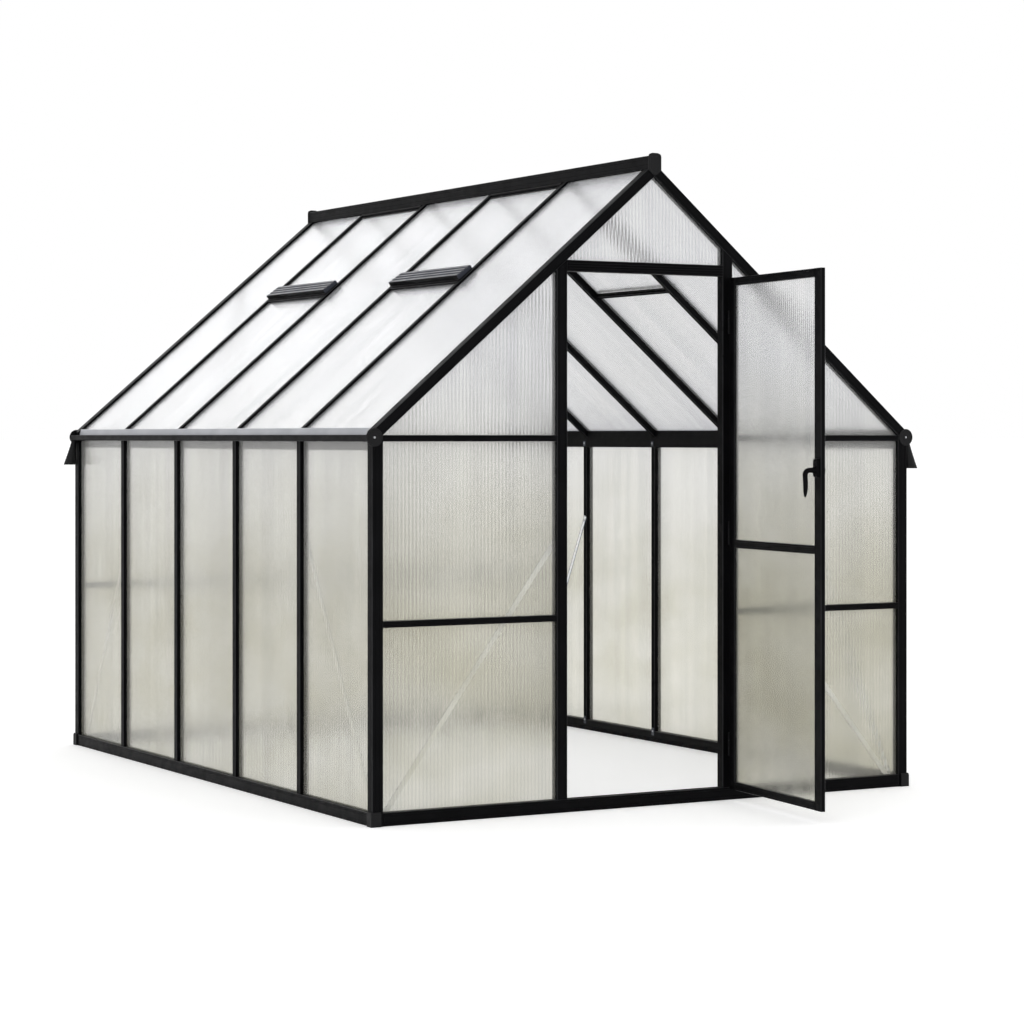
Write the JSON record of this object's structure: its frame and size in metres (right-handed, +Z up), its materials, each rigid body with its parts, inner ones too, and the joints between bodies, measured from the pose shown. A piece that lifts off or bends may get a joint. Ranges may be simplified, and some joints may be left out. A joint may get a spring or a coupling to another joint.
{
  "type": "walk-in greenhouse",
  "caption": "Walk-in gable greenhouse with a black metal frame, fluted translucent sheets, a hinged door and hinged roof vents on stays.",
  "frame": {"origin": "middle of the underside of the front base rail, on the ground", "axes": "+X to the right along the front gable seen from outside, +Y from the front gable into the house, +Z up"},
  "size_m": [2.563, 3.8464, 2.529],
  "materials": {
    "black": "satin black powder coat on aluminium extrusion",
    "sheet": "translucent twin-wall polycarbonate with upright flutes",
    "silver": "mill aluminium",
    "rib": "blue-grey satin coat",
    "plastic": "moulded black plastic"
  },
  "bodies": {
    "frame": {"brace_front_left": "silver", "brace_front_right": "silver", "brace_left_front": "silver", "brace_left_rear": "silver", "brace_right_front": "silver", "brace_right_rear": "silver", "door_header": "black", "door_post_left": "black", "door_post_right": "black", "front_rail_eave_left": "black", "front_rail_eave_right": "black", "front_rail_mid_left": "black", "front_rail_mid_right": "black", "glazing_front": "sheet", "glazing_rear": "sheet", "glazing_roof_left": "sheet", "glazing_roof_right": "sheet", "glazing_wall_left": "sheet", "glazing_wall_right": "sheet", "gutter_left": "black", "gutter_right": "black", "post_front_left": "black", "post_front_right": "black", "post_rear_left": "black", "post_rear_right": "black", "rafter_front_left": "black", "rafter_front_right": "black", "rafter_rear_left": "black", "rafter_rear_right": "black", "rear_frame": "black", "ridge_beam": "black", "ridge_cap_front": "plastic", "ridge_cap_rear": "plastic", "roof_bars_left_front": "black", "roof_bars_left_rear": "black", "roof_bars_right_front": "black", "roof_bars_right_rear": "black", "sill_front": "black", "sill_left": "black", "sill_rear": "black", "sill_right": "black", "spout_left": "plastic", "spout_right": "plastic", "stud_left_1": "black", "stud_left_2": "black", "stud_left_3": "black", "stud_left_4": "black", "stud_right_1": "black", "stud_right_2": "black", "stud_right_3": "black", "stud_right_4": "black"},
    "door": {"door_frame": "black", "door_glazing": "sheet"},
    "door_turn_handle": {"door_handle": "plastic"},
    "vent_left_front": {"vent_left_front": "rib"},
    "stay_left_front": {"vent_stay_left_front": "rib"},
    "vent_left_rear": {"vent_left_rear": "rib"},
    "stay_left_rear": {"vent_stay_left_rear": "rib"},
    "vent_right_front": {"vent_right_front": "rib"},
    "vent_right_rear": {"vent_right_rear": "rib"}
  },
  "joints": [
    {"name": "door_hinge", "type": "hinge", "parent": "frame", "child": "door", "pos_m": [0.343, -0.024, 0], "axis": [0, 0, 1], "range_deg": [-83.6, 11.4]},
    {"name": "door_handle_turn", "type": "hinge", "parent": "door", "child": "door_turn_handle", "pos_m": [0.26386, -0.72957, 1.306], "axis": [-0.9938, 0.1115, 0], "range_deg": [0, 90]},
    {"name": "vent_left_front_hinge", "type": "hinge", "parent": "frame", "child": "vent_left_front", "pos_m": [-0.03166, 0.932, 2.45777], "axis": [0, 1, 0], "range_deg": [0, 26]},
    {"name": "stay_left_front_pivot", "type": "hinge", "parent": "vent_left_front", "child": "stay_left_front", "pos_m": [-0.47888, 0.932, 2.04981], "axis": [0, 1, 0], "range_deg": [-14.6, 0.3]},
    {"name": "vent_left_rear_hinge", "type": "hinge", "parent": "frame", "child": "vent_left_rear", "pos_m": [-0.03166, 2.172, 2.45777], "axis": [0, 1, 0], "range_deg": [0, 26]},
    {"name": "stay_left_rear_pivot", "type": "hinge", "parent": "vent_left_rear", "child": "stay_left_rear", "pos_m": [-0.47888, 2.172, 2.04981], "axis": [0, 1, 0], "range_deg": [-14.6, 0.3]},
    {"name": "vent_right_front_hinge", "type": "hinge", "parent": "frame", "child": "vent_right_front", "pos_m": [0.03166, 0.932, 2.45777], "axis": [0, -1, 0], "range_deg": [0, 26]},
    {"name": "vent_right_rear_hinge", "type": "hinge", "parent": "frame", "child": "vent_right_rear", "pos_m": [0.03166, 2.172, 2.45777], "axis": [0, -1, 0], "range_deg": [0, 26]}
  ],
  "couplings": [
    {"joint": "stay_left_front_pivot", "follows": "vent_left_front_hinge", "ratio": -0.55},
    {"joint": "stay_left_rear_pivot", "follows": "vent_left_rear_hinge", "ratio": -0.55}
  ]
}
